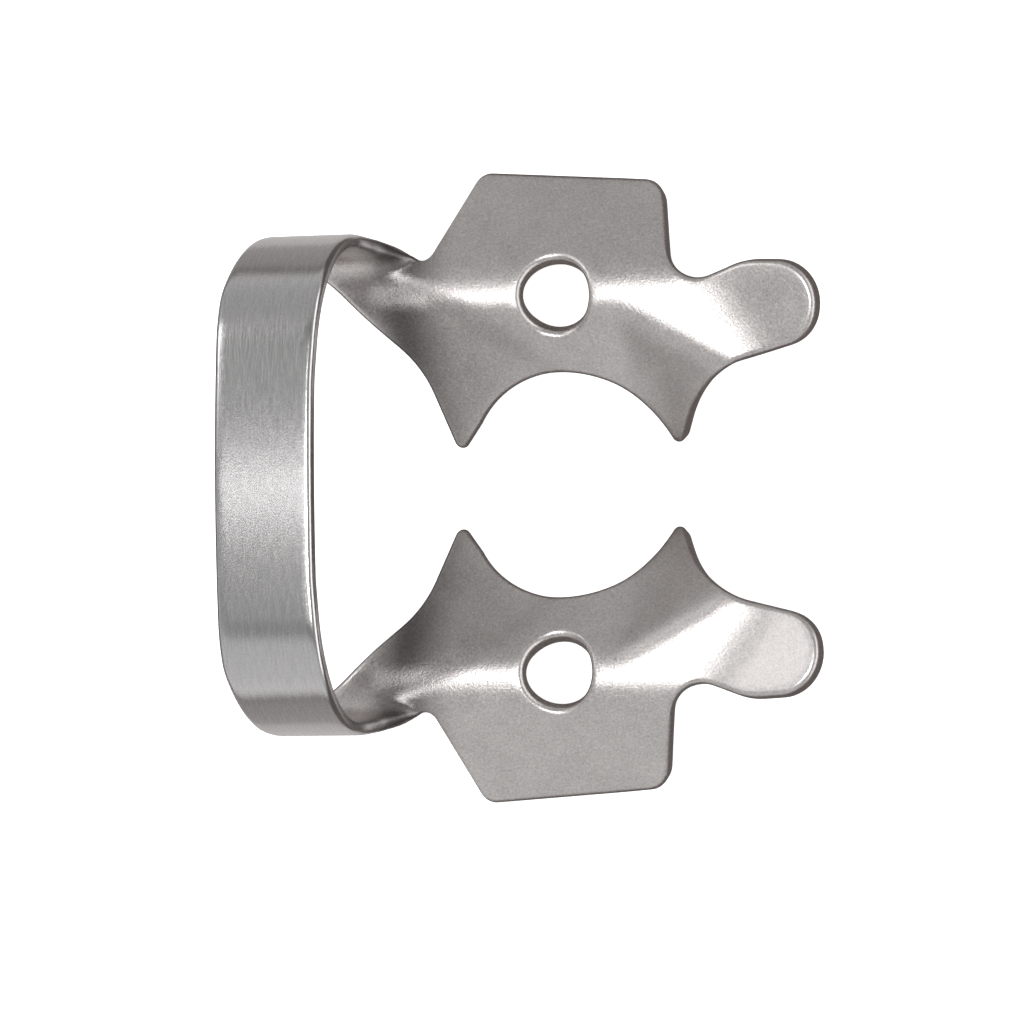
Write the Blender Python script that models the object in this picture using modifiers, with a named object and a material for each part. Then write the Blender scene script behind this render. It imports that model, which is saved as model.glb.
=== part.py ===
"""Rubber dam clamp: one sheet of spring steel, stamped, bent and tumbled.

Two jaws, each with a wing, a front lobe, two prongs and a forceps hole, are joined
at the back by one bow that rises over the tooth. The clamp is symmetric about the
plane y = 0, so half of it is made and mirrored.

The half starts as a flat blank: an outline of straight edges and round corners, with
rings of squares along its edges and small triangles between them. Each point of the
blank is then carried to its place on the bent sheet. The jaw is a roof that falls away
from a crest to the wing on one side and to the prongs on the other. The bow is bent up
beside the jaw, over its shoulder and across. Solidify gives the sheet its thickness,
and less of it on the rings, which rounds the tumbled edges.

Units: the named sizes are millimetres and degrees, and the mesh is in metres.
While it is shaped, x = 0 is the forceps hole, y = 0 the symmetry plane and z = 0 the
middle of the sheet on the crest. +X is the front and +Z the side that faces out of
the mouth. At the end the clamp stands on its prong tips at z = 0.
"""

import math

import bpy
import numpy as np
from mathutils import Vector
from mathutils.geometry import delaunay_2d_cdt

MM = 0.001
TINY = 1e-6

# Sheet
JAW_THICKNESS = 0.97
BOW_THICKNESS = 0.72
EDGE_ROUND = 0.29
EDGE_RINGS = 4

# Roof of the jaw
CREST_Y = 9.6
WING_SLOPE = 33.0
WING_BEND = 2.2
PRONG_SLOPE = 31.0
PRONG_BEND = 1.4
RIGHT_PRONG_EXTRA_SLOPE = 5.5

# The flat web in front of the hole, where the crest opens towards the lobe
WEB_START_X = 2.4
WEB_INNER_ANGLE = 29.0
WEB_OUTER_START_X = 5.5
WEB_OUTER_ANGLE = 39.0
WEB_EASE = 1.5

# The lobe's upward tilt, over a bend that slants across the lobe
LOBE_START_X = 6.9
LOBE_BEND_TURN = 35.0
LOBE_TILT = 16.0
LOBE_BEND = 2.6

# Forceps hole, punched before the sheet is bent
HOLE_DIAMETER = 3.55
HOLE_SHORTENED_BY_BEND = 0.19
HOLE_INSET = 0.12

# Tooth opening between the prongs, one circle for both jaws
TOOTH_RADIUS = 5.78
TOOTH_X = -0.11
FRONT_ARC_END = 27.0
BACK_ARC_END = 35.0
PRONG_TIP_Y = 1.72
PRONG_TIP_ROUND = 0.41
FRONT_TIP_INSET = 0.0
BACK_TIP_OUTSET = 0.62

# Corners of the jaw's outline: x, y and the radius there
NOTCH_CORNER = (-6.85, 10.95, 0.5)
WING_BACK_CORNER = (-4.72, 15.92, 0.85)
WING_FRONT_CORNER = (4.97, 15.2, 1.2)
LOBE_NOTCH_CORNER = (6.2, 9.57, 1.7)
LOBE_OUTER_SHOULDER = (9.95, 10.93, 3.6)
LOBE_OUTER_CORNER = (14.05, 10.7, 2.4)
LOBE_INNER_CORNER = (13.5, 6.93, 2.2)
FRONT_PRONG_FILLET = (7.4, 5.4, 5.8)
BACK_PRONG_FILLET = (-7.5, 6.2, 5.0)

# The bow. Beside the jaw the sheet turns up into a leg that leans out a little, turns in
# over the shoulder and crosses in a slightly arched crown. All turn about lines along x.
BOW_HALF_SPAN = 12.2
LEG_ANGLE = 80.0
LEG_BEND_RADIUS = 2.2
SHOULDER_RADIUS = 6.0
CROWN_RADIUS = 70.0
CROWN_HEIGHT = 9.45
CROWN_TILT = 3.8
TILT_START_Y = 13.0
TILT_LENGTH = 8.0

# Edges of the bow's strip in the flat blank: x at the crown, then corners down to the jaw
BOW_FRONT_X = -9.74
BOW_BACK_X = -14.9
FRONT_CROWN = (-9.74, 25.0, 12.0)
FRONT_SHOULDER = (-9.5, 20.5, 8.0)
FRONT_KNEE = (-9.3, 13.6, 3.0)
BACK_SHOULDER = (-14.9, 20.6, 6.0)
BACK_LEG = (-14.25, 16.0, 5.0)
BACK_KNEE = (-13.1, 11.5, 1.5)

# Where the jaw's roof gives way to the bow's bend, from a line with a corner at the notch
JOIN_SPREAD = 1.4
JOIN_LENGTH = 2.4

# Fineness of the mesh
EDGE_STEP = 0.6
FILL_STEP = 0.75
CORNER_STEP = 20.0
HOLE_SIDES = 28
FILL_CLEARANCE = 0.7
EDGE_FILL = 0.97

STEEL_COLOUR = (0.56, 0.545, 0.535, 1.0)
STEEL_ROUGHNESS = 0.32


def ramp(distance, bend):
    """Zero, then a slope of one, with a round bend of the given width between."""
    distance = np.asarray(distance, float)
    curved = distance * distance / (2.0 * bend)
    return np.where(distance <= 0.0, 0.0, np.where(distance < bend, curved, distance - bend / 2.0))


def ease(value):
    """Goes smoothly from 0 to 1."""
    value = np.clip(value, 0.0, 1.0)
    return value * value * (3.0 - 2.0 * value)


def slope(degrees):
    return math.tan(math.radians(degrees))


def jaw_height(x, y):
    """Height of the middle of the jaw's sheet over a point of its plan."""
    web_inner = slope(WEB_INNER_ANGLE) * ramp(x - WEB_START_X, WEB_EASE)
    web_outer = slope(WEB_OUTER_ANGLE) * ramp(x - WEB_OUTER_START_X, WEB_EASE)
    hole_edge = HOLE_DIAMETER / 2.0
    to_front_prong = ease((x - hole_edge) / (TOOTH_X + TOOTH_RADIUS - hole_edge))
    extra = slope(PRONG_SLOPE + RIGHT_PRONG_EXTRA_SLOPE) - slope(PRONG_SLOPE)
    prong_slope = slope(PRONG_SLOPE) + extra * to_front_prong
    wing = slope(WING_SLOPE) * ramp(y - CREST_Y - web_outer, WING_BEND)
    prongs = prong_slope * ramp(CREST_Y - web_inner - y, PRONG_BEND)
    turn = math.radians(LOBE_BEND_TURN)
    past_bend = (x - LOBE_START_X) * math.cos(turn) + (y - CREST_Y) * math.sin(turn)
    lobe = slope(LOBE_TILT) * ramp(past_bend, LOBE_BEND)
    return lobe - wing - prongs


def bow_steps():
    """The bow's bends in order: radius, turn, and the straight length that follows.

    The leg takes the height that the bends leave. Where they leave none, the leg's own
    two bends are tightened until they fit.
    """
    crown_turn = math.asin((BOW_HALF_SPAN - SHOULDER_RADIUS) / (CROWN_RADIUS - SHOULDER_RADIUS))
    room = CROWN_HEIGHT - CROWN_RADIUS * (1.0 - math.cos(crown_turn))
    leg_turn = math.radians(LEG_ANGLE)
    bends = LEG_BEND_RADIUS * (1.0 - math.cos(leg_turn))
    bends += SHOULDER_RADIUS * (math.cos(leg_turn) + math.cos(crown_turn))
    fit = min(1.0, room / bends)
    leg = (room - bends * fit) / math.sin(leg_turn)
    return (
        (LEG_BEND_RADIUS * fit, leg_turn, leg),
        (SHOULDER_RADIUS * fit, math.pi - leg_turn - crown_turn, 0.0),
        (CROWN_RADIUS, crown_turn, 0.0),
    )


def bow_start():
    """The blank's y where the bow's first bend begins."""
    (bend, leg_turn, leg), (shoulder, _, _), (crown, crown_turn, _) = bow_steps()
    crown_reach = crown * math.sin(crown_turn)
    shoulder_reach = shoulder * (math.sin(leg_turn) - math.sin(crown_turn))
    return crown_reach + shoulder_reach - leg * math.cos(leg_turn) - bend * math.sin(leg_turn)


def crown_middle():
    """The blank's y at the middle of the crown."""
    return bow_start() + sum(radius * turn + straight for radius, turn, straight in bow_steps())


def bow_profile(blank_y):
    """Where the blank's y lies after the bow's bends, as a new y and a height."""
    run = blank_y - bow_start()
    y = bow_start() + np.minimum(run, 0.0)
    z = np.zeros_like(y)
    heading = 0.0
    for radius, turn, straight in bow_steps():
        angle = np.clip(run / radius, 0.0, turn)
        y += radius * (np.sin(heading + angle) - math.sin(heading))
        z += radius * (math.cos(heading) - np.cos(heading + angle))
        heading += turn
        run = run - radius * turn
        ahead = np.clip(run, 0.0, straight)
        y += ahead * math.cos(heading)
        z += ahead * math.sin(heading)
        run = run - straight
    return y, z


def joined(blank):
    """How far each point of the blank belongs to the bow, from 0 on the jaw to 1."""
    wing_edge = np.subtract(WING_BACK_CORNER[:2], NOTCH_CORNER[:2])
    wing_edge /= np.linalg.norm(wing_edge)
    behind = NOTCH_CORNER[0] - blank[:, 0]
    above = blank[:, 1] - NOTCH_CORNER[1]
    sideways = np.where(above > 0.0, wing_edge[0], -JOIN_SPREAD) * above
    return ease((behind * wing_edge[1] + sideways) / JOIN_LENGTH)


def bent_points(blank):
    """Where points of the blank lie on the bent sheet's middle surface."""
    x, y = blank[:, 0], blank[:, 1]
    bow_y, bow_z = bow_profile(y)
    middle_x = (BOW_FRONT_X + BOW_BACK_X) / 2.0
    tilt = slope(CROWN_TILT) * (x - middle_x) * ease((y - TILT_START_Y) / TILT_LENGTH)
    share = joined(blank)
    roof = jaw_height(x, np.minimum(y, CREST_Y)) * share + jaw_height(x, y) * (1.0 - share)
    bent = np.column_stack((x, y + (bow_y - y) * share, roof + (bow_z + tilt) * share))
    bent[np.abs(y - crown_middle()) < TINY, 1] = 0.0
    return bent


def sheet_thickness(blank):
    """The sheet is ground thinner from the arm to the bow."""
    return JAW_THICKNESS + (BOW_THICKNESS - JAW_THICKNESS) * joined(blank)


def corner_of(point, before, after):
    """Directions from a corner to its neighbours, and half the angle between them."""
    back = np.array(before[:2]) - point
    ahead = np.array(after[:2]) - point
    back /= np.linalg.norm(back)
    ahead /= np.linalg.norm(ahead)
    return back, ahead, math.acos(max(-1.0, min(1.0, float(back @ ahead)))) / 2.0


def rounded(corner, before, after, radius):
    """Points of the arc that rounds one corner of an outline."""
    point = np.array(corner[:2])
    back, ahead, half_angle = corner_of(point, before, after)
    middle = (back + ahead) / np.linalg.norm(back + ahead)
    centre = point + middle * radius / math.sin(half_angle)
    start = point + back * radius / math.tan(half_angle) - centre
    end = point + ahead * radius / math.tan(half_angle) - centre
    turn = math.atan2(start[0] * end[1] - start[1] * end[0], float(start @ end))
    fine_steps = math.ceil(abs(turn) * radius / EDGE_STEP)
    steps = max(2, math.ceil(abs(math.degrees(turn)) / CORNER_STEP), fine_steps)
    angles = np.linspace(0.0, turn, steps + 1)
    cos, sin = np.cos(angles), np.sin(angles)
    arc = np.column_stack((start[0] * cos - start[1] * sin, start[0] * sin + start[1] * cos))
    return list(centre + arc)


def fitted_radii(corners):
    """Each corner's radius, limited where two neighbouring arcs would meet on their edge."""
    count = len(corners)
    reaches = []
    for index, corner in enumerate(corners):
        point = np.array(corner[:2])
        half_angle = corner_of(point, corners[index - 1], corners[(index + 1) % count])[2]
        reaches.append(corner[2] / math.tan(half_angle))
    shares = np.ones(count)
    for index in range(count):
        after = (index + 1) % count
        edge = np.linalg.norm(np.subtract(corners[after][:2], corners[index][:2]))
        needed = reaches[index] + reaches[after]
        if needed > EDGE_FILL * edge:
            shares[index] = min(shares[index], EDGE_FILL * edge / needed)
            shares[after] = min(shares[after], EDGE_FILL * edge / needed)
    return [corner[2] * share for corner, share in zip(corners, shares)]


def tooth_arc():
    """The round edge that the two prongs stand on, from the front prong to the back one."""
    turn = math.radians(180.0 - FRONT_ARC_END - BACK_ARC_END)
    steps = math.ceil(turn * TOOTH_RADIUS / EDGE_STEP)
    angles = math.radians(FRONT_ARC_END) + np.linspace(0.0, turn, steps + 1)
    return [(TOOTH_X + TOOTH_RADIUS * math.cos(a), TOOTH_RADIUS * math.sin(a), 0.0) for a in angles]


def prong_tip(side, outset):
    """The corner at one prong's tip, seen from the tooth opening's circle."""
    reach = math.sqrt(TOOTH_RADIUS**2 - PRONG_TIP_Y**2)
    return TOOTH_X + side * (reach + outset), PRONG_TIP_Y, PRONG_TIP_ROUND


def blank_corners():
    """The corners of the half blank, in order round it."""
    return [
        (BOW_FRONT_X, crown_middle(), 0.0),
        FRONT_CROWN,
        FRONT_SHOULDER,
        FRONT_KNEE,
        NOTCH_CORNER,
        WING_BACK_CORNER,
        WING_FRONT_CORNER,
        LOBE_NOTCH_CORNER,
        LOBE_OUTER_SHOULDER,
        LOBE_OUTER_CORNER,
        LOBE_INNER_CORNER,
        FRONT_PRONG_FILLET,
        prong_tip(1.0, -FRONT_TIP_INSET),
        *tooth_arc(),
        prong_tip(-1.0, BACK_TIP_OUTSET),
        BACK_PRONG_FILLET,
        BACK_KNEE,
        BACK_LEG,
        BACK_SHOULDER,
        (BOW_BACK_X, crown_middle(), 0.0),
    ]


def even_steps(points, step):
    """The same open outline, with its long edges divided."""
    divided = []
    for start, end in zip(points[:-1], points[1:]):
        count = max(1, math.ceil(np.linalg.norm(end - start) / step - TINY))
        divided += [start + (end - start) * index / count for index in range(count)]
    return np.array(divided + [points[-1]])


def blank_outline():
    """The edge of the half blank, from the middle of the crown all the way round to it."""
    corners = blank_corners()
    points = []
    for index, (corner, radius) in enumerate(zip(corners, fitted_radii(corners))):
        if radius > 0.0:
            after = corners[(index + 1) % len(corners)]
            points += rounded(corner, corners[index - 1], after, radius)
        else:
            points.append(np.array(corner[:2]))
    return even_steps(points, EDGE_STEP)


def hole_outline():
    angles = np.linspace(0.0, 2.0 * math.pi, HOLE_SIDES, endpoint=False)
    x = HOLE_DIAMETER / 2.0 * np.cos(angles)
    across = (HOLE_DIAMETER - HOLE_SHORTENED_BY_BEND) / 2.0
    y = CREST_Y - HOLE_INSET + across * np.sin(angles)
    return np.column_stack((x, y))


def inward(outline, closed):
    """At each point of an outline, the step that moves it by one into the sheet, to its right."""
    if closed:
        outline = np.concatenate((outline[-1:], outline, outline[:1]))
    edges = np.diff(outline, axis=0)
    edges /= np.linalg.norm(edges, axis=1).reshape(-1, 1)
    normals = np.column_stack((edges[:, 1], -edges[:, 0]))
    if not closed:
        normals = np.concatenate((normals[:1], normals, normals[-1:]))
    middle = normals[:-1] + normals[1:]
    return 2.0 * middle / (middle * middle).sum(axis=1).reshape(-1, 1)


def edge_rings(outline, closed):
    """The outline and its insets, which carry the round of the edge."""
    turns = np.linspace(0.0, math.pi / 2.0, EDGE_RINGS)
    step = inward(outline, closed)
    rings = [outline + step * EDGE_ROUND * (1.0 - math.cos(turn)) for turn in turns]
    lowered = [EDGE_ROUND * (1.0 - math.sin(turn)) for turn in turns]
    return rings, lowered


def ring_faces(rings, first, closed):
    """Squares between one ring and the next, with the points numbered from the first."""
    count = len(rings[0])
    last = count if closed else count - 1
    faces = []
    for ring in range(len(rings) - 1):
        outer = first + ring * count
        for index in range(last):
            after = (index + 1) % count
            inner = outer + count
            faces.append((outer + index, inner + index, inner + after, outer + after))
    return faces


def inside(points, outline):
    """Which points lie inside a closed outline."""
    start = outline
    end = np.roll(outline, -1, axis=0)
    x, y = points[:, :1], points[:, 1:]
    crosses = (start[:, 1] > y) != (end[:, 1] > y)
    rise = np.where(end[:, 1] == start[:, 1], 1.0, end[:, 1] - start[:, 1])
    reach = start[:, 0] + (y - start[:, 1]) * (end[:, 0] - start[:, 0]) / rise
    return (crosses & (x < reach)).sum(axis=1) % 2 == 1


def fill_points(outline, hole):
    """A lattice of triangles inside the blank, kept clear of its edges."""
    rim = np.concatenate((outline, hole))
    low, high = outline.min(axis=0), outline.max(axis=0)
    row_step = FILL_STEP * math.sqrt(3.0) / 2.0
    lattice = []
    for row, y in enumerate(np.arange(low[1], high[1], row_step)):
        shift = FILL_STEP / 2.0 * (row % 2)
        lattice += [(x + shift, y) for x in np.arange(low[0], high[0], FILL_STEP)]
    lattice = np.array(lattice)
    lattice = lattice[inside(lattice, outline) & ~inside(lattice, hole)]
    gaps = np.linalg.norm(lattice[:, None] - rim[None], axis=2).min(axis=1)
    return lattice[gaps > FILL_CLEARANCE * FILL_STEP]


def fill_blank(outline, hole):
    """Points and faces of the flat blank, and how far its edge is lowered at each point.

    Rings of squares follow the edges, and Blender's constrained Delaunay triangulation
    fills what is left.
    """
    rings, lowered = edge_rings(outline, False)
    hole_rings, hole_lowered = edge_rings(hole, True)
    end_line = even_steps([rings[-1][-1], rings[-1][0]], EDGE_STEP)[1:-1]
    border = np.concatenate((rings[-1], end_line))
    hole_border = hole_rings[-1]
    points = np.concatenate((*rings, *hole_rings, end_line, fill_points(border, hole_border)))
    depth = np.zeros(len(points))
    depth[: len(outline) * EDGE_RINGS] = np.repeat(lowered, len(outline))
    hole_first = len(outline) * EDGE_RINGS
    line_first = hole_first + len(hole) * EDGE_RINGS
    depth[hole_first:line_first] = np.repeat(hole_lowered, len(hole))

    faces = ring_faces(rings, 0, False) + ring_faces(hole_rings, hole_first, True)
    outer = list(range(hole_first - len(outline), hole_first))
    outer += range(line_first, line_first + len(end_line))
    inner = list(range(line_first - len(hole), line_first))
    used = outer + inner + list(range(line_first + len(end_line), len(points)))
    place = {point: index for index, point in enumerate(used)}
    edges = []
    for loop in (outer, inner):
        edges += [(place[a], place[b]) for a, b in zip(loop, loop[1:] + loop[:1])]
    only_inside = 1
    vectors = [Vector(points[point]) for point in used]
    made = delaunay_2d_cdt(vectors, edges, [], only_inside, TINY)
    source = np.array([used[origin[0]] for origin in made[3]])
    filling = source[np.array(made[2])]
    keep = ~inside(points[filling].mean(axis=1), hole_border)
    return points, faces + filling[keep].tolist(), depth


def steel():
    material = bpy.data.materials.new("satin_steel")
    material.use_nodes = True
    shader = material.node_tree.nodes["Principled BSDF"]
    shader.inputs["Base Color"].default_value = STEEL_COLOUR
    shader.inputs["Metallic"].default_value = 1.0
    shader.inputs["Roughness"].default_value = STEEL_ROUGHNESS
    return material


def half_sheet():
    """The open middle surface of one half, with the thickness as a vertex weight."""
    blank, faces, lowered = fill_blank(blank_outline(), hole_outline())
    mesh = bpy.data.meshes.new("clamp")
    mesh.from_pydata((bent_points(blank) * MM).tolist(), [], faces)
    mesh.validate()
    clamp = bpy.data.objects.new("clamp", mesh)
    weights = clamp.vertex_groups.new(name="thickness")
    for index, thickness in enumerate(sheet_thickness(blank) - 2.0 * lowered):
        weights.add([index], float(thickness) / JAW_THICKNESS, "REPLACE")
    return clamp


def add_modifiers(clamp):
    mirror = clamp.modifiers.new("other_half", "MIRROR")
    mirror.use_axis = (False, True, False)
    mirror.merge_threshold = 0.00005

    thicken = clamp.modifiers.new("sheet_thickness", "SOLIDIFY")
    thicken.thickness = JAW_THICKNESS * MM
    thicken.offset = 0.0
    thicken.use_even_offset = True
    thicken.use_quality_normals = True
    thicken.vertex_group = "thickness"


def stand_on_prongs(clamp):
    """Puts the middle of the clamp's box over the origin and its lowest point at z = 0."""
    bpy.context.view_layer.update()
    solid = clamp.evaluated_get(bpy.context.evaluated_depsgraph_get())
    corners = np.array([tuple(corner) for corner in solid.bound_box])
    low, high = corners.min(axis=0), corners.max(axis=0)
    clamp.location = (-(low[0] + high[0]) / 2.0, 0.0, -low[2])


def main():
    for obj in list(bpy.data.objects):
        bpy.data.objects.remove(obj, do_unlink=True)
    collection = bpy.data.collections.new("rubber_dam_clamp")
    bpy.context.scene.collection.children.link(collection)

    clamp = half_sheet()
    collection.objects.link(clamp)
    clamp.data.materials.append(steel())
    clamp.data.shade_smooth()
    add_modifiers(clamp)
    stand_on_prongs(clamp)


main()
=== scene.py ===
"""Rubber dam clamp: the finished look of the one-piece spring steel clamp.

The clamp is made again from the sizes of its bent sheet, with much finer triangles than
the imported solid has, and it takes that solid's place. It gets a satin tumbled finish on
the jaws and a finish brushed lengthwise on the bow. A white floor, soft lights and the
camera at the photograph's angle follow.

Units: the named sizes of the sheet are millimetres and degrees, as in its design, and
everything in Blender is in metres. x = 0 is the forceps hole, y = 0 the symmetry plane
and z = 0 the middle of the sheet on the crest, until the clamp is set on its frame.
"""

import math

import bpy
import numpy as np
from mathutils import Matrix, Vector
from mathutils.geometry import delaunay_2d_cdt
from mathutils.kdtree import KDTree


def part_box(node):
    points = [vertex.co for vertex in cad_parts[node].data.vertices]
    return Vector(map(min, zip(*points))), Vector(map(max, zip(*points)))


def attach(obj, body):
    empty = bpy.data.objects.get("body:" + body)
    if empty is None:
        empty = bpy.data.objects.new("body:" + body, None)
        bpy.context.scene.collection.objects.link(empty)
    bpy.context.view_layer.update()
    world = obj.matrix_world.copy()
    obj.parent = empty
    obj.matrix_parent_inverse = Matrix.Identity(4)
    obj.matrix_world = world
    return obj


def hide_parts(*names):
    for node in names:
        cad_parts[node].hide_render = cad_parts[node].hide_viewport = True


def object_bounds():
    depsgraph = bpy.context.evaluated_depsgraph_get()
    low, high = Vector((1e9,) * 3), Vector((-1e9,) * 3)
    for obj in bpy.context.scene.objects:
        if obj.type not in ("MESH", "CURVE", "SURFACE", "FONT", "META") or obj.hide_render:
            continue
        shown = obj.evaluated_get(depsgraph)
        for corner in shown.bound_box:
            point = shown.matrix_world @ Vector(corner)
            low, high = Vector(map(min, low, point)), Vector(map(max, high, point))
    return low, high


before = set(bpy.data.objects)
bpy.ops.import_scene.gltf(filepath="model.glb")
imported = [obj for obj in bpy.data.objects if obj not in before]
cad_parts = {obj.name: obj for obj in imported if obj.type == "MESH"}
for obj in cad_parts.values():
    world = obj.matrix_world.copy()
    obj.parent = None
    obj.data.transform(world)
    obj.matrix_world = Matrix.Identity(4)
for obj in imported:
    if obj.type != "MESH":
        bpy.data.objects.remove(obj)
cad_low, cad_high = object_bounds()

MM = 0.001
TINY = 1e-6

# Sheet
JAW_THICKNESS = 0.97
BOW_THICKNESS = 0.72
EDGE_ROUND = 0.29
EDGE_RINGS = 6

# Roof of the jaw
CREST_Y = 9.6
WING_SLOPE = 33.0
WING_BEND = 2.2
PRONG_SLOPE = 31.0
PRONG_BEND = 1.4
RIGHT_PRONG_EXTRA_SLOPE = 5.5

# The flat web in front of the hole, where the crest opens towards the lobe
WEB_START_X = 2.4
WEB_INNER_ANGLE = 29.0
WEB_OUTER_START_X = 5.5
WEB_OUTER_ANGLE = 39.0
WEB_EASE = 1.5

# The lobe's upward tilt, over a bend that slants across the lobe
LOBE_START_X = 6.9
LOBE_BEND_TURN = 35.0
LOBE_TILT = 16.0
LOBE_BEND = 2.6

# Forceps hole, punched before the sheet is bent
HOLE_DIAMETER = 3.55
HOLE_SHORTENED_BY_BEND = 0.19
HOLE_INSET = 0.12

# Tooth opening between the prongs, one circle for both jaws
TOOTH_RADIUS = 5.78
TOOTH_X = -0.11
FRONT_ARC_END = 27.0
BACK_ARC_END = 35.0
PRONG_TIP_Y = 1.72
PRONG_TIP_ROUND = 0.41
FRONT_TIP_INSET = 0.0
BACK_TIP_OUTSET = 0.62

# Corners of the jaw's outline: x, y and the radius there
NOTCH_CORNER = (-6.85, 10.95, 0.5)
WING_BACK_CORNER = (-4.72, 15.92, 0.85)
WING_FRONT_CORNER = (4.97, 15.2, 1.2)
LOBE_NOTCH_CORNER = (6.2, 9.57, 1.7)
LOBE_OUTER_SHOULDER = (9.95, 10.93, 3.6)
LOBE_OUTER_CORNER = (14.05, 10.7, 2.4)
LOBE_INNER_CORNER = (13.5, 6.93, 2.2)
FRONT_PRONG_FILLET = (7.4, 5.4, 5.8)
BACK_PRONG_FILLET = (-7.5, 6.2, 5.0)

# The bow. Beside the jaw the sheet turns up into a leg that leans out a little, turns in
# over the shoulder and crosses in a slightly arched crown. All turn about lines along x.
BOW_HALF_SPAN = 12.2
LEG_ANGLE = 80.0
LEG_BEND_RADIUS = 2.2
SHOULDER_RADIUS = 6.0
CROWN_RADIUS = 70.0
CROWN_HEIGHT = 9.45
CROWN_TILT = 3.8
TILT_START_Y = 13.0
TILT_LENGTH = 8.0

# Edges of the bow's strip in the flat blank: x at the crown, then corners down to the jaw
BOW_FRONT_X = -9.74
BOW_BACK_X = -14.9
FRONT_CROWN = (-9.74, 25.0, 12.0)
FRONT_SHOULDER = (-9.5, 20.5, 8.0)
FRONT_KNEE = (-9.3, 13.6, 3.0)
BACK_SHOULDER = (-14.9, 20.6, 6.0)
BACK_LEG = (-14.25, 16.0, 5.0)
BACK_KNEE = (-13.1, 11.5, 1.5)

# Where the jaw's roof gives way to the bow's bend, from a line with a corner at the notch
JOIN_SPREAD = 1.4
JOIN_LENGTH = 2.4

# Fineness of the mesh
EDGE_STEP = 0.26
FILL_STEP = 0.29
CORNER_STEP = 8.0
HOLE_SIDES = 64
FILL_CLEARANCE = 0.7
EDGE_FILL = 0.97

# Where the brushed finish of the bow takes over from the tumbled one, in the blank
BRUSHED_START_Y = 12.5
BRUSHED_LENGTH = 3.0

# Camera: tilted towards the front lobes and a little towards -Y, rolled a little, and
# aimed at this point of its own picture plane
CAMERA_TILT = 16.0
CAMERA_LEAN = 2.2
CAMERA_ROLL = 0.48
CAMERA_DISTANCE = 285.3
CAMERA_LENS = 200.0
AIM_ACROSS = -2.28
AIM_UP = -1.44

CAMERA_SENSOR = 36.0

# Tumbled steel of the jaws. Grain and scratches are counted per metre.
TUMBLED_COLOUR = (0.60, 0.572, 0.560)
TUMBLED_ROUGHNESS = (0.30, 0.44)
TUMBLED_GRAIN = 9000.0
TUMBLED_GRAIN_TONE = (0.6, 1.4)
CLOUD_SCALE = 600.0
CLOUD_TONE = (-0.12, 0.12)
CLOUD_ROUGHNESS = (-0.03, 0.03)
SCRATCH_SCALE = 3200.0
SCRATCH_TURNS = (0.0, 0.8, 1.6, 2.3)
SCRATCH_STRETCH = (4.0, 0.35, 1.0)
SCRATCH_LOW = 0.64
SCRATCH_HIGH = 0.74
SCRATCH_TONE = 0.06
SCRATCH_RELIEF = 0.25
RELIEF_DEPTH = 0.000007

# Painted shade on the arms between the jaws and the bow, in place of the shade that the twist of
# the sheet there gives, and painted light on the strip next to the bow. At each x the steel's tone
# is multiplied by this.
ARM_PAINTED_SHADE = ((-10.4, 1.3), (-8.1, 0.32), (-5.2, 1.0))

# Brushed steel of the bow. Streaks and grain are counted per millimetre.
BRUSHED_COLOUR = (0.59, 0.580, 0.580)
BRUSHED_ROUGHNESS = (0.20, 0.24)
BRUSHED_ANISOTROPY = 0.2
BRUSHED_TURN = 0.25
BRUSHED_SCALE = 9.0
BRUSHED_STRETCH = (8.0, 1.0, 1.0)
STREAK_TONE = (0.80, 1.20)
BRUSHED_GRAIN_TONE = (-0.18, 0.18)
BRUSHED_RELIEF = 0.43

# Floor, in metres
FLOOR_SIZE = 4.0
FLOOR_GAP = 0.0002
FLOOR_SHADE = 0.9

# How bright the studio is at a direction's rise, from -1 straight down to 1 overhead, and
# the tint of its part under WARM_BELOW
STUDIO_SHADES = (
    (-1.0, 0.14),
    (-0.5, 0.14),
    (-0.1, 0.09),
    (0.0, 0.16),
    (0.12, 0.64),
    (0.38, 0.48),
    (0.75, 0.44),
    (0.9, 0.22),
    (1.0, 0.18),
)
WARM_BELOW = 0.05
WARM_TINT = (1.1, 0.94, 0.88)

# Softboxes: degrees across and up, width and height in degrees, and radiance
LIGHT_DISTANCE = 0.6
SOFTBOXES = {
    "overhead_panel": (-4.0, -1.0, 14.0, 13.0, 22.0),
    "overhead_strip": (-26.0, 1.8, 14.0, 3.0, 2.9),
    "left_panel": (-48.0, 19.0, 18.0, 16.0, 3.4),
    "side_panel": (-35.0, -54.0, 70.0, 56.0, 0.22),
    "front_panel": (65.0, 0.0, 26.0, 90.0, 1.6),
}

# Lit patches of the floor on both sides: near and far y, back and front x, and radiance
FLOOR_GLOWS = {
    "floor_far": (14.0, 200.0, -80.0, -6.0, 0.27),
    "floor_near": (14.0, 24.0, -22.0, -6.0, 0.22),
}


def ramp(distance, bend):
    """Zero, then a slope of one, with a round bend of the given width between."""
    distance = np.asarray(distance, float)
    curved = distance * distance / (2.0 * bend)
    return np.where(distance <= 0.0, 0.0, np.where(distance < bend, curved, distance - bend / 2.0))


def ease(value):
    """Goes smoothly from 0 to 1."""
    value = np.clip(value, 0.0, 1.0)
    return value * value * (3.0 - 2.0 * value)


def slope(degrees):
    return math.tan(math.radians(degrees))


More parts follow.
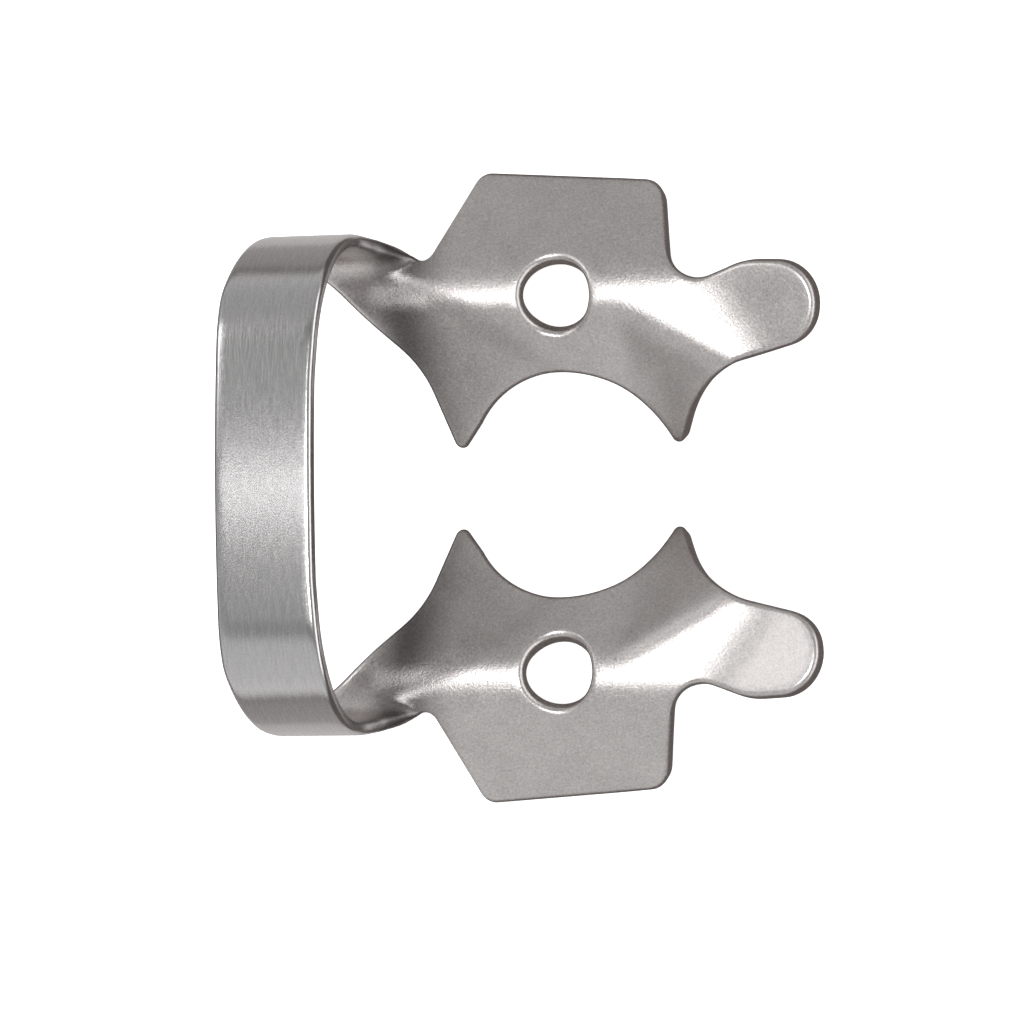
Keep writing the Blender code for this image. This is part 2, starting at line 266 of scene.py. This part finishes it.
def jaw_height(x, y):
    """Height of the middle of the jaw's sheet over a point of its plan."""
    web_inner = slope(WEB_INNER_ANGLE) * ramp(x - WEB_START_X, WEB_EASE)
    web_outer = slope(WEB_OUTER_ANGLE) * ramp(x - WEB_OUTER_START_X, WEB_EASE)
    hole_edge = HOLE_DIAMETER / 2.0
    to_front_prong = ease((x - hole_edge) / (TOOTH_X + TOOTH_RADIUS - hole_edge))
    extra = slope(PRONG_SLOPE + RIGHT_PRONG_EXTRA_SLOPE) - slope(PRONG_SLOPE)
    prong_slope = slope(PRONG_SLOPE) + extra * to_front_prong
    wing = slope(WING_SLOPE) * ramp(y - CREST_Y - web_outer, WING_BEND)
    prongs = prong_slope * ramp(CREST_Y - web_inner - y, PRONG_BEND)
    turn = math.radians(LOBE_BEND_TURN)
    past_bend = (x - LOBE_START_X) * math.cos(turn) + (y - CREST_Y) * math.sin(turn)
    lobe = slope(LOBE_TILT) * ramp(past_bend, LOBE_BEND)
    return lobe - wing - prongs


def bow_steps():
    """The bow's bends in order: radius, turn, and the straight length that follows.

    The leg takes the height that the bends leave. Where they leave none, the leg's own
    two bends are tightened until they fit.
    """
    crown_turn = math.asin((BOW_HALF_SPAN - SHOULDER_RADIUS) / (CROWN_RADIUS - SHOULDER_RADIUS))
    room = CROWN_HEIGHT - CROWN_RADIUS * (1.0 - math.cos(crown_turn))
    leg_turn = math.radians(LEG_ANGLE)
    bends = LEG_BEND_RADIUS * (1.0 - math.cos(leg_turn))
    bends += SHOULDER_RADIUS * (math.cos(leg_turn) + math.cos(crown_turn))
    fit = min(1.0, room / bends)
    leg = (room - bends * fit) / math.sin(leg_turn)
    return (
        (LEG_BEND_RADIUS * fit, leg_turn, leg),
        (SHOULDER_RADIUS * fit, math.pi - leg_turn - crown_turn, 0.0),
        (CROWN_RADIUS, crown_turn, 0.0),
    )


def bow_start():
    """The blank's y where the bow's first bend begins."""
    (bend, leg_turn, leg), (shoulder, _, _), (crown, crown_turn, _) = bow_steps()
    crown_reach = crown * math.sin(crown_turn)
    shoulder_reach = shoulder * (math.sin(leg_turn) - math.sin(crown_turn))
    return crown_reach + shoulder_reach - leg * math.cos(leg_turn) - bend * math.sin(leg_turn)


def crown_middle():
    """The blank's y at the middle of the crown."""
    return bow_start() + sum(radius * turn + straight for radius, turn, straight in bow_steps())


def bow_profile(blank_y):
    """Where the blank's y lies after the bow's bends, as a new y and a height."""
    run = blank_y - bow_start()
    y = bow_start() + np.minimum(run, 0.0)
    z = np.zeros_like(y)
    heading = 0.0
    for radius, turn, straight in bow_steps():
        angle = np.clip(run / radius, 0.0, turn)
        y += radius * (np.sin(heading + angle) - math.sin(heading))
        z += radius * (math.cos(heading) - np.cos(heading + angle))
        heading += turn
        run = run - radius * turn
        ahead = np.clip(run, 0.0, straight)
        y += ahead * math.cos(heading)
        z += ahead * math.sin(heading)
        run = run - straight
    return y, z


def joined(blank):
    """How far each point of the blank belongs to the bow, from 0 on the jaw to 1."""
    wing_edge = np.subtract(WING_BACK_CORNER[:2], NOTCH_CORNER[:2])
    wing_edge /= np.linalg.norm(wing_edge)
    behind = NOTCH_CORNER[0] - blank[:, 0]
    above = blank[:, 1] - NOTCH_CORNER[1]
    sideways = np.where(above > 0.0, wing_edge[0], -JOIN_SPREAD) * above
    return ease((behind * wing_edge[1] + sideways) / JOIN_LENGTH)


def bent_points(blank):
    """Where points of the blank lie on the bent sheet's middle surface."""
    x, y = blank[:, 0], blank[:, 1]
    bow_y, bow_z = bow_profile(y)
    middle_x = (BOW_FRONT_X + BOW_BACK_X) / 2.0
    tilt = slope(CROWN_TILT) * (x - middle_x) * ease((y - TILT_START_Y) / TILT_LENGTH)
    share = joined(blank)
    roof = jaw_height(x, np.minimum(y, CREST_Y)) * share + jaw_height(x, y) * (1.0 - share)
    bent = np.column_stack((x, y + (bow_y - y) * share, roof + (bow_z + tilt) * share))
    bent[np.abs(y - crown_middle()) < TINY, 1] = 0.0
    return bent


def sheet_thickness(blank):
    """The sheet is ground thinner from the arm to the bow."""
    return JAW_THICKNESS + (BOW_THICKNESS - JAW_THICKNESS) * joined(blank)


def corner_of(point, before, after):
    """Directions from a corner to its neighbours, and half the angle between them."""
    back = np.array(before[:2]) - point
    ahead = np.array(after[:2]) - point
    back /= np.linalg.norm(back)
    ahead /= np.linalg.norm(ahead)
    return back, ahead, math.acos(max(-1.0, min(1.0, float(back @ ahead)))) / 2.0


def rounded(corner, before, after, radius):
    """Points of the arc that rounds one corner of an outline."""
    point = np.array(corner[:2])
    back, ahead, half_angle = corner_of(point, before, after)
    middle = (back + ahead) / np.linalg.norm(back + ahead)
    centre = point + middle * radius / math.sin(half_angle)
    start = point + back * radius / math.tan(half_angle) - centre
    end = point + ahead * radius / math.tan(half_angle) - centre
    turn = math.atan2(start[0] * end[1] - start[1] * end[0], float(start @ end))
    fine_steps = math.ceil(abs(turn) * radius / EDGE_STEP)
    steps = max(2, math.ceil(abs(math.degrees(turn)) / CORNER_STEP), fine_steps)
    angles = np.linspace(0.0, turn, steps + 1)
    cos, sin = np.cos(angles), np.sin(angles)
    arc = np.column_stack((start[0] * cos - start[1] * sin, start[0] * sin + start[1] * cos))
    return list(centre + arc)


def fitted_radii(corners):
    """Each corner's radius, limited where two neighbouring arcs would meet on their edge."""
    count = len(corners)
    reaches = []
    for index, corner in enumerate(corners):
        point = np.array(corner[:2])
        half_angle = corner_of(point, corners[index - 1], corners[(index + 1) % count])[2]
        reaches.append(corner[2] / math.tan(half_angle))
    shares = np.ones(count)
    for index in range(count):
        after = (index + 1) % count
        edge = np.linalg.norm(np.subtract(corners[after][:2], corners[index][:2]))
        needed = reaches[index] + reaches[after]
        if needed > EDGE_FILL * edge:
            shares[index] = min(shares[index], EDGE_FILL * edge / needed)
            shares[after] = min(shares[after], EDGE_FILL * edge / needed)
    return [corner[2] * share for corner, share in zip(corners, shares)]


def tooth_arc():
    """The round edge that the two prongs stand on, from the front prong to the back one."""
    turn = math.radians(180.0 - FRONT_ARC_END - BACK_ARC_END)
    steps = math.ceil(turn * TOOTH_RADIUS / EDGE_STEP)
    angles = math.radians(FRONT_ARC_END) + np.linspace(0.0, turn, steps + 1)
    return [(TOOTH_X + TOOTH_RADIUS * math.cos(a), TOOTH_RADIUS * math.sin(a), 0.0) for a in angles]


def prong_tip(side, outset):
    """The corner at one prong's tip, seen from the tooth opening's circle."""
    reach = math.sqrt(TOOTH_RADIUS**2 - PRONG_TIP_Y**2)
    return TOOTH_X + side * (reach + outset), PRONG_TIP_Y, PRONG_TIP_ROUND


def blank_corners():
    """The corners of the half blank, in order round it."""
    return [
        (BOW_FRONT_X, crown_middle(), 0.0),
        FRONT_CROWN,
        FRONT_SHOULDER,
        FRONT_KNEE,
        NOTCH_CORNER,
        WING_BACK_CORNER,
        WING_FRONT_CORNER,
        LOBE_NOTCH_CORNER,
        LOBE_OUTER_SHOULDER,
        LOBE_OUTER_CORNER,
        LOBE_INNER_CORNER,
        FRONT_PRONG_FILLET,
        prong_tip(1.0, -FRONT_TIP_INSET),
        *tooth_arc(),
        prong_tip(-1.0, BACK_TIP_OUTSET),
        BACK_PRONG_FILLET,
        BACK_KNEE,
        BACK_LEG,
        BACK_SHOULDER,
        (BOW_BACK_X, crown_middle(), 0.0),
    ]


def even_steps(points, step):
    """The same open outline, with its long edges divided."""
    divided = []
    for start, end in zip(points[:-1], points[1:]):
        count = max(1, math.ceil(np.linalg.norm(end - start) / step - TINY))
        divided += [start + (end - start) * index / count for index in range(count)]
    return np.array(divided + [points[-1]])


def blank_outline():
    """The edge of the half blank, from the middle of the crown all the way round to it."""
    corners = blank_corners()
    points = []
    for index, (corner, radius) in enumerate(zip(corners, fitted_radii(corners))):
        if radius > 0.0:
            after = corners[(index + 1) % len(corners)]
            points += rounded(corner, corners[index - 1], after, radius)
        else:
            points.append(np.array(corner[:2]))
    return even_steps(points, EDGE_STEP)


def hole_outline():
    angles = np.linspace(0.0, 2.0 * math.pi, HOLE_SIDES, endpoint=False)
    x = HOLE_DIAMETER / 2.0 * np.cos(angles)
    across = (HOLE_DIAMETER - HOLE_SHORTENED_BY_BEND) / 2.0
    y = CREST_Y - HOLE_INSET + across * np.sin(angles)
    return np.column_stack((x, y))


def inward(outline, closed):
    """At each point of an outline, the step that moves it by one into the sheet, to its right."""
    if closed:
        outline = np.concatenate((outline[-1:], outline, outline[:1]))
    edges = np.diff(outline, axis=0)
    edges /= np.linalg.norm(edges, axis=1).reshape(-1, 1)
    normals = np.column_stack((edges[:, 1], -edges[:, 0]))
    if not closed:
        normals = np.concatenate((normals[:1], normals, normals[-1:]))
    middle = normals[:-1] + normals[1:]
    return 2.0 * middle / (middle * middle).sum(axis=1).reshape(-1, 1)


def edge_rings(outline, closed):
    """The outline and its insets, which carry the round of the edge."""
    turns = np.linspace(0.0, math.pi / 2.0, EDGE_RINGS)
    step = inward(outline, closed)
    rings = [outline + step * EDGE_ROUND * (1.0 - math.cos(turn)) for turn in turns]
    lowered = [EDGE_ROUND * (1.0 - math.sin(turn)) for turn in turns]
    return rings, lowered


def ring_faces(rings, first, closed):
    """Squares between one ring and the next, with the points numbered from the first."""
    count = len(rings[0])
    last = count if closed else count - 1
    faces = []
    for ring in range(len(rings) - 1):
        outer = first + ring * count
        for index in range(last):
            after = (index + 1) % count
            inner = outer + count
            faces.append((outer + index, inner + index, inner + after, outer + after))
    return faces


def inside(points, outline):
    """Which points lie inside a closed outline."""
    start = outline
    end = np.roll(outline, -1, axis=0)
    x, y = points[:, :1], points[:, 1:]
    crosses = (start[:, 1] > y) != (end[:, 1] > y)
    rise = np.where(end[:, 1] == start[:, 1], 1.0, end[:, 1] - start[:, 1])
    reach = start[:, 0] + (y - start[:, 1]) * (end[:, 0] - start[:, 0]) / rise
    return (crosses & (x < reach)).sum(axis=1) % 2 == 1


def fill_points(outline, hole):
    """A lattice of triangles inside the blank, kept clear of its edges."""
    rim = np.concatenate((outline, hole))
    nearest = KDTree(len(rim))
    for index, (x, y) in enumerate(rim):
        nearest.insert((x, y, 0.0), index)
    nearest.balance()
    low, high = outline.min(axis=0), outline.max(axis=0)
    row_step = FILL_STEP * math.sqrt(3.0) / 2.0
    lattice = []
    for row, y in enumerate(np.arange(low[1], high[1], row_step)):
        shift = FILL_STEP / 2.0 * (row % 2)
        lattice += [(x + shift, y) for x in np.arange(low[0], high[0], FILL_STEP)]
    lattice = np.array(lattice)
    lattice = lattice[inside(lattice, outline) & ~inside(lattice, hole)]
    gaps = np.array([nearest.find((x, y, 0.0))[2] for x, y in lattice])
    return lattice[gaps > FILL_CLEARANCE * FILL_STEP]


def fill_blank(outline, hole):
    """Points and faces of the flat blank, and how far its edge is lowered at each point.

    Rings of squares follow the edges, and Blender's constrained Delaunay triangulation
    fills what is left.
    """
    rings, lowered = edge_rings(outline, False)
    hole_rings, hole_lowered = edge_rings(hole, True)
    end_line = even_steps([rings[-1][-1], rings[-1][0]], EDGE_STEP)[1:-1]
    border = np.concatenate((rings[-1], end_line))
    hole_border = hole_rings[-1]
    points = np.concatenate((*rings, *hole_rings, end_line, fill_points(border, hole_border)))
    depth = np.zeros(len(points))
    depth[: len(outline) * EDGE_RINGS] = np.repeat(lowered, len(outline))
    hole_first = len(outline) * EDGE_RINGS
    line_first = hole_first + len(hole) * EDGE_RINGS
    depth[hole_first:line_first] = np.repeat(hole_lowered, len(hole))

    faces = ring_faces(rings, 0, False) + ring_faces(hole_rings, hole_first, True)
    outer = list(range(hole_first - len(outline), hole_first))
    outer += range(line_first, line_first + len(end_line))
    inner = list(range(line_first - len(hole), line_first))
    used = outer + inner + list(range(line_first + len(end_line), len(points)))
    place = {point: index for index, point in enumerate(used)}
    edges = []
    for loop in (outer, inner):
        edges += [(place[a], place[b]) for a, b in zip(loop, loop[1:] + loop[:1])]
    only_inside = 1
    vectors = [Vector(points[point]) for point in used]
    made = delaunay_2d_cdt(vectors, edges, [], only_inside, TINY)
    source = np.array([used[origin[0]] for origin in made[3]])
    filling = source[np.array(made[2])]
    keep = ~inside(points[filling].mean(axis=1), hole_border)
    return points, faces + filling[keep].tolist(), depth


def half_sheet():
    """The open middle surface of one half, with its thickness, finish and blank places."""
    blank, faces, lowered = fill_blank(blank_outline(), hole_outline())
    mesh = bpy.data.meshes.new("clamp_steel")
    mesh.from_pydata((bent_points(blank) * MM).tolist(), [], faces)
    mesh.validate()

    brushed = mesh.attributes.new("brushed", "FLOAT", "POINT")
    on_bow = joined(blank) * ease((blank[:, 1] - BRUSHED_START_Y) / BRUSHED_LENGTH)
    brushed.data.foreach_set("value", on_bow)

    lengthwise = blank[:, ::-1]
    corners = np.empty(len(mesh.loops), np.int32)
    mesh.loops.foreach_get("vertex_index", corners)
    uv_map = mesh.uv_layers.new(name="blank")
    uv_map.data.foreach_set("uv", lengthwise[corners].ravel())

    clamp = bpy.data.objects.new("clamp_steel", mesh)
    weights = clamp.vertex_groups.new(name="thickness")
    for index, thickness in enumerate(sheet_thickness(blank) - 2.0 * lowered):
        weights.add([index], float(thickness) / JAW_THICKNESS, "REPLACE")
    bpy.context.scene.collection.objects.link(clamp)
    return clamp


def add_modifiers(clamp):
    mirror = clamp.modifiers.new("other_half", "MIRROR")
    mirror.use_axis = (False, True, False)
    mirror.merge_threshold = 0.00005

    thicken = clamp.modifiers.new("sheet_thickness", "SOLIDIFY")
    thicken.thickness = JAW_THICKNESS * MM
    thicken.offset = 0.0
    thicken.use_even_offset = True
    thicken.use_quality_normals = True
    thicken.vertex_group = "thickness"


def set_on_frame(clamp):
    """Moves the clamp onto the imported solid: middle of the box in x, lowest point in z."""
    low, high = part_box("clamp")
    bpy.context.view_layer.update()
    solid = clamp.evaluated_get(bpy.context.evaluated_depsgraph_get())
    corners = np.array([tuple(corner) for corner in solid.bound_box])
    own_low, own_high = corners.min(axis=0), corners.max(axis=0)
    middle = (low[0] + high[0]) / 2.0 - (own_low[0] + own_high[0]) / 2.0
    clamp.location = (middle, 0.0, low[2] - own_low[2])


class Nodes:
    """Short calls for building one material."""

    def __init__(self, name):
        self.material = bpy.data.materials.new(name)
        self.material.use_nodes = True
        self.tree = self.material.node_tree
        self.shader = self.tree.nodes["Principled BSDF"]

    def add(self, kind, **settings):
        node = self.tree.nodes.new(kind)
        for name, value in settings.items():
            setattr(node, name, value)
        return node

    def link(self, start, end):
        self.tree.links.new(start, end)

    def value(self, operation, first, second):
        node = self.add("ShaderNodeMath", operation=operation)
        for socket, given in zip(node.inputs, (first, second)):
            if isinstance(given, (int, float)):
                socket.default_value = given
            else:
                self.link(given, socket)
        return node.outputs[0]

    def noise(self, place, scale, detail, stretch=(1.0, 1.0, 1.0), turn=0.0):
        """A noise value from 0 to 1, with so many grains to a unit, stretched and turned."""
        mapping = self.add("ShaderNodeMapping", vector_type="TEXTURE")
        mapping.inputs["Rotation"].default_value = (0.0, 0.0, turn)
        mapping.inputs["Scale"].default_value = stretch
        self.link(place, mapping.inputs["Vector"])
        noise = self.add("ShaderNodeTexNoise")
        noise.inputs["Scale"].default_value = scale
        noise.inputs["Detail"].default_value = detail
        self.link(mapping.outputs[0], noise.inputs["Vector"])
        return noise.outputs[0]

    def between(self, value, low, high):
        """The value's 0 to 1 as low to high."""
        ranged = self.add("ShaderNodeMapRange")
        ranged.inputs["To Min"].default_value = low
        ranged.inputs["To Max"].default_value = high
        self.link(value, ranged.inputs["Value"])
        return ranged.outputs[0]

    def ranged(self, value, start, end, low, high):
        """Goes smoothly from low to high while the value goes from start to end."""
        ranged = self.add("ShaderNodeMapRange", interpolation_type="SMOOTHSTEP")
        ranged.inputs["From Min"].default_value = start
        ranged.inputs["From Max"].default_value = end
        ranged.inputs["To Min"].default_value = low
        ranged.inputs["To Max"].default_value = high
        self.link(value, ranged.inputs["Value"])
        return ranged.outputs[0]

    def scratches(self, place, scale, turns):
        """Thin short lines in the given directions: 0 on plain metal and up to 1 on a line."""
        strongest = 0.0
        for turn in turns:
            lines = self.noise(place, scale, 1.0, stretch=SCRATCH_STRETCH, turn=turn)
            ridge = self.add("ShaderNodeMapRange")
            ridge.inputs["From Min"].default_value = SCRATCH_LOW
            ridge.inputs["From Max"].default_value = SCRATCH_HIGH
            self.link(lines, ridge.inputs["Value"])
            strongest = self.value("MAXIMUM", strongest, ridge.outputs[0])
        return strongest

    def tinted(self, colour, tone):
        """The colour, made lighter or darker by the tone."""
        scaled = self.add("ShaderNodeVectorMath", operation="SCALE")
        scaled.inputs[0].default_value = colour
        self.link(tone, scaled.inputs["Scale"])
        return scaled.outputs[0]

    def mixed(self, share, start, end):
        """Goes from start to end, numbers or colours, as the share goes from 0 to 1."""
        mix = self.add("ShaderNodeMix", data_type="VECTOR")
        vectors = {socket.name: socket for socket in mix.inputs if socket.type == "VECTOR"}
        self.link(share, mix.inputs["Factor"])
        self.link(start, vectors["A"])
        self.link(end, vectors["B"])
        return next(socket for socket in mix.outputs if socket.type == "VECTOR")

    def finish(self, colour, roughness, relief):
        """Makes it metal with this colour, roughness and relief."""
        self.shader.inputs["Metallic"].default_value = 1.0
        self.link(colour, self.shader.inputs["Base Color"])
        self.link(roughness, self.shader.inputs["Roughness"])
        bump = self.add("ShaderNodeBump")
        bump.inputs["Distance"].default_value = RELIEF_DEPTH
        self.link(relief, bump.inputs["Height"])
        self.link(bump.outputs[0], self.shader.inputs["Normal"])


def painted_arm_shade(nodes, place):
    """The tone along x: painted shade on the arms, and painted light towards the bow."""
    split = nodes.add("ShaderNodeSeparateXYZ")
    nodes.link(place, split.inputs[0])
    x = split.outputs["X"]
    # Painted shade is darkest on the arms; the bow side ends in painted light above the plain tone.
    (bow_x, bow_painted_light), (arm_x, darkest_painted_shade), (jaw_x, jaw_tone) = ARM_PAINTED_SHADE
    to_bow = nodes.ranged(x, arm_x * MM, bow_x * MM, darkest_painted_shade, bow_painted_light)
    to_jaw = nodes.ranged(x, arm_x * MM, jaw_x * MM, darkest_painted_shade, jaw_tone)
    return nodes.value("MAXIMUM", to_bow, to_jaw)


def tumbled_look(nodes):
    """Colour, roughness and relief from the tumbling drum: even grain and random scratches, with
    painted shade on the arms and painted light near the bow.
    """
    place = nodes.add("ShaderNodeTexCoord").outputs["Object"]
    grain = nodes.noise(place, TUMBLED_GRAIN, 2.0)
    cloud = nodes.noise(place, CLOUD_SCALE, 3.0)
    scratches = nodes.scratches(place, SCRATCH_SCALE, SCRATCH_TURNS)

    grain_tone = nodes.between(grain, *TUMBLED_GRAIN_TONE)
    tone = nodes.value("ADD", grain_tone, nodes.between(cloud, *CLOUD_TONE))
    tone = nodes.value("ADD", tone, nodes.between(scratches, 0.0, SCRATCH_TONE))
    # Painted shade on the arms and painted light near the bow, multiplied into the colour.
    tone = nodes.value("MULTIPLY", tone, painted_arm_shade(nodes, place))
    grain_roughness = nodes.between(grain, *TUMBLED_ROUGHNESS)
    roughness = nodes.value("ADD", grain_roughness, nodes.between(cloud, *CLOUD_ROUGHNESS))
    relief = nodes.value("ADD", grain, nodes.between(scratches, 0.0, SCRATCH_RELIEF))
    return nodes.tinted(TUMBLED_COLOUR, tone), roughness, relief


def brushed_look(nodes):
    """Colour, roughness and relief of strip brushed along its length."""
    place = nodes.add("ShaderNodeUVMap", uv_map="blank").outputs[0]
    streaks = nodes.noise(place, BRUSHED_SCALE, 3.0, stretch=BRUSHED_STRETCH)
    grain = nodes.noise(place, BRUSHED_SCALE, 2.0)

    streak_tone = nodes.between(streaks, *STREAK_TONE)
    tone = nodes.value("ADD", streak_tone, nodes.between(grain, *BRUSHED_GRAIN_TONE))
    roughness = nodes.between(streaks, *BRUSHED_ROUGHNESS)
    relief = nodes.value("MULTIPLY", nodes.value("ADD", streaks, grain), BRUSHED_RELIEF)
    return nodes.tinted(BRUSHED_COLOUR, tone), roughness, relief


def tumbled_steel():
    """Satin steel of the jaws."""
    nodes = Nodes("tumbled_steel")
    nodes.finish(*tumbled_look(nodes))
    return nodes.material


def brushed_steel():
    """Brushed steel of the bow, which goes over into the tumbled look at its feet."""
    nodes = Nodes("brushed_steel")
    shader = nodes.shader
    shader.inputs["Anisotropic"].default_value = BRUSHED_ANISOTROPY
    shader.inputs["Anisotropic Rotation"].default_value = BRUSHED_TURN
    tangent = nodes.add("ShaderNodeTangent", direction_type="UV_MAP", uv_map="blank")
    nodes.link(tangent.outputs[0], shader.inputs["Tangent"])
    share = nodes.add("ShaderNodeAttribute", attribute_name="brushed").outputs["Fac"]
    looks = zip(tumbled_look(nodes), brushed_look(nodes))
    nodes.finish(*(nodes.mixed(share, start, end) for start, end in looks))
    return nodes.material


def finish_faces(clamp):
    """The jaws take the tumbled finish and the bow the brushed one."""
    clamp.data.materials.append(tumbled_steel())
    clamp.data.materials.append(brushed_steel())
    brushed = clamp.data.attributes["brushed"].data
    for face in clamp.data.polygons:
        share = sum(brushed[index].value for index in face.vertices) / len(face.vertices)
        face.material_index = 1 if share > 0.0 else 0
    clamp.data.shade_smooth()


def make_clamp():
    clamp = half_sheet()
    finish_faces(clamp)
    add_modifiers(clamp)
    set_on_frame(clamp)
    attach(clamp, "root")
    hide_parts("clamp")
    return clamp


def make_floor():
    """A white floor that lights itself, so that it stays plain and takes no hard shadow."""
    place = (0.0, 0.0, cad_low[2] - FLOOR_GAP)
    bpy.ops.mesh.primitive_plane_add(size=FLOOR_SIZE, location=place)
    floor = bpy.context.object
    floor.name = "floor"
    material = bpy.data.materials.new("white_floor")
    material.use_nodes = True
    shader = material.node_tree.nodes["Principled BSDF"]
    shader.inputs["Base Color"].default_value = (FLOOR_SHADE, FLOOR_SHADE, FLOOR_SHADE, 1.0)
    shader.inputs["Roughness"].default_value = 0.9
    shader.inputs["Specular IOR Level"].default_value = 0.0
    shader.inputs["Emission Color"].default_value = (1.0, 1.0, 1.0, 1.0)
    shader.inputs["Emission Strength"].default_value = FLOOR_SHADE
    floor.data.materials.append(material)
    floor.visible_glossy = False


def direction(across, up):
    """A direction from the clamp: degrees from overhead towards +X, then towards +Y."""
    across, up = math.radians(across), math.radians(up)
    return Vector((math.sin(across) * math.cos(up), math.sin(up), math.cos(across) * math.cos(up)))


def add_panel(name, width, height, radiance):
    """A rectangular light, with its sizes in metres."""
    data = bpy.data.lights.new(name, "AREA")
    data.shape = "RECTANGLE"
    data.size = width
    data.size_y = height
    data.energy = radiance * math.pi * width * height
    light = bpy.data.objects.new(name, data)
    bpy.context.scene.collection.objects.link(light)
    return light


def make_softbox(name, across, up, width, height, radiance):
    """A light that faces the clamp. Its sizes are the degrees that it fills."""
    towards = direction(across, up)
    size_x = 2.0 * LIGHT_DISTANCE * math.tan(math.radians(width / 2.0))
    size_y = 2.0 * LIGHT_DISTANCE * math.tan(math.radians(height / 2.0))
    light = add_panel(name, size_x, size_y, radiance)
    x_axis = Vector((1.0, 0.0, 0.0)) - towards * towards.x
    x_axis.normalize()
    y_axis = towards.cross(x_axis)
    facing = Matrix((x_axis, y_axis, towards)).transposed().to_4x4()
    middle = (cad_low + cad_high) / 2.0
    light.matrix_world = Matrix.Translation(middle + towards * LIGHT_DISTANCE) @ facing


def make_floor_glow(name, side, near_y, far_y, back_x, front_x, radiance):
    """A patch of the floor beside the bow that the turned-down shoulder mirrors."""
    light = add_panel(name, (front_x - back_x) * MM, (far_y - near_y) * MM, radiance)
    middle = (cad_low + cad_high) / 2.0
    x = middle.x + (back_x + front_x) / 2.0 * MM
    y = middle.y + side * (near_y + far_y) / 2.0 * MM
    light.location = (x, y, cad_low[2])
    light.rotation_euler = (math.pi, 0.0, 0.0)
    light.visible_camera = False


def make_studio():
    """The surroundings that the steel mirrors, from dark at the floor to light above."""
    world = bpy.data.worlds.new("studio")
    world.use_nodes = True
    tree = world.node_tree
    place = tree.nodes.new("ShaderNodeTexCoord")
    split = tree.nodes.new("ShaderNodeSeparateXYZ")
    height = tree.nodes.new("ShaderNodeMapRange")
    height.inputs["From Min"].default_value = -1.0
    brightness = tree.nodes.new("ShaderNodeValToRGB")
    shades = brightness.color_ramp
    shades.interpolation = "EASE"
    shades.elements.remove(shades.elements[1])
    for index, (rise, shade) in enumerate(STUDIO_SHADES):
        place_on_ramp = (rise + 1.0) / 2.0
        element = shades.elements[0] if index == 0 else shades.elements.new(place_on_ramp)
        element.position = place_on_ramp
        tint = WARM_TINT if rise < WARM_BELOW else (1.0, 1.0, 1.0)
        element.color = (*(shade * part for part in tint), 1.0)
    tree.links.new(place.outputs["Generated"], split.inputs[0])
    tree.links.new(split.outputs["Z"], height.inputs["Value"])
    tree.links.new(height.outputs[0], brightness.inputs["Fac"])
    tree.links.new(brightness.outputs["Color"], tree.nodes["Background"].inputs["Color"])
    bpy.context.scene.world = world


def make_lights():
    make_studio()
    for name, settings in SOFTBOXES.items():
        make_softbox(name, *settings)
    for side in (-1.0, 1.0):
        for name, settings in FLOOR_GLOWS.items():
            make_floor_glow(name, side, *settings)


def make_camera(clamp):
    """The photograph's view, set from the clamp's own zero point."""
    tilt, roll = math.radians(CAMERA_TILT), math.radians(CAMERA_ROLL)
    back = direction(CAMERA_TILT, -CAMERA_LEAN)
    level = Vector((math.cos(tilt), 0.0, -math.sin(tilt)))
    upright = back.cross(level)
    right = level * math.cos(roll) - upright * math.sin(roll)
    up = upright * math.cos(roll) + level * math.sin(roll)
    aim = clamp.location + (right * AIM_ACROSS + up * AIM_UP) * MM
    data = bpy.data.cameras.new("camera")
    data.lens = CAMERA_LENS
    data.sensor_width = CAMERA_SENSOR
    camera = bpy.data.objects.new("camera", data)
    place = aim + back * CAMERA_DISTANCE * MM
    facing = Matrix((right, up, back)).transposed().to_4x4()
    camera.matrix_world = Matrix.Translation(place) @ facing
    data.clip_start = 0.01
    bpy.context.scene.collection.objects.link(camera)
    bpy.context.scene.camera = camera


clamp = make_clamp()
make_floor()
make_lights()
make_camera(clamp)
bpy.context.scene.view_settings.view_transform = "Standard"
